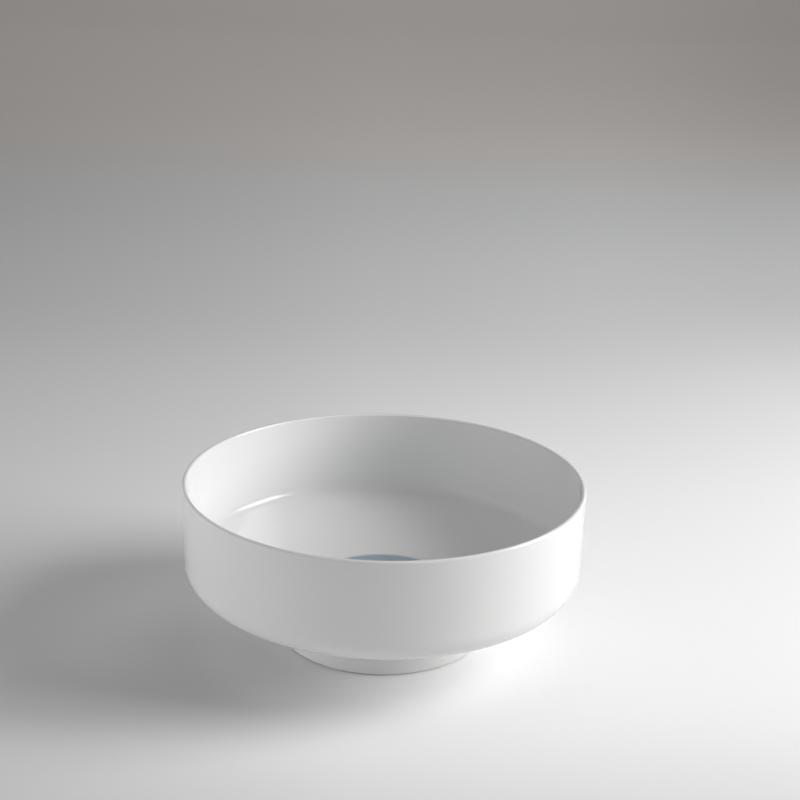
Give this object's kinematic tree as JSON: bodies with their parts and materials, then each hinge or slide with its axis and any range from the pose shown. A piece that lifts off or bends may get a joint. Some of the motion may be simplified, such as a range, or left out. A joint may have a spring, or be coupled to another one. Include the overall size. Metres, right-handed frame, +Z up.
{
  "type": "washbasin",
  "caption": "Round vessel washbasin in glazed ceramic: thin rim, upright wall, conical floor and hollow foot, with a push-open waste under a wide flat metal cover.",
  "frame": {"origin": "centre of the foot's bottom face, on the surface that the basin stands on", "axes": "+Z up along the bowl's axis; -Y towards the user and the picture's camera; +X to the user's right"},
  "size_m": [0.4, 0.3998, 0.164],
  "materials": {
    "glazed_ceramic": "glossy white glaze",
    "chrome_cover": "polished, with a cool blue-grey tint",
    "chrome_brass": "polished plating on brass",
    "plain_brass": "machined",
    "black_rubber": "matt moulded",
    "grey_plastic": "satin moulded",
    "white_plastic": "satin moulded",
    "spring_steel": "drawn wire"
  },
  "bodies": {
    "root": {"basin_bowl": "glazed_ceramic", "waste_body": "chrome_brass", "flange_seal": "black_rubber", "lower_seal": "black_rubber", "slip_washer": "grey_plastic", "back_nut": "plain_brass", "clicker_housing": "white_plastic", "clicker_cap": "plain_brass", "spindle_ring": "black_rubber", "clicker_spring": "spring_steel"},
    "cover": {"drain_cover": "chrome_cover", "plug_carrier": "white_plastic", "cover_seal": "black_rubber", "lock_nut": "plain_brass", "clicker_spindle": "plain_brass"},
    "rotor": {"index_rotor": "white_plastic"}
  },
  "joints": [
    {"name": "cover_lift", "type": "slide", "parent": "root", "child": "cover", "axis": [0, 0, 1], "range_m": [0, 0.008], "deforming": ["clicker_spring"]},
    {"name": "rotor_turn", "type": "hinge", "parent": "cover", "child": "rotor", "pos_m": [0, 0, 0.0205], "axis": [0, 0, 1], "range_deg": [0, 45]}
  ],
  "couplings": [
    {"joint": "rotor_turn", "follows": "cover_lift", "rad_per_m": 98}
  ]
}
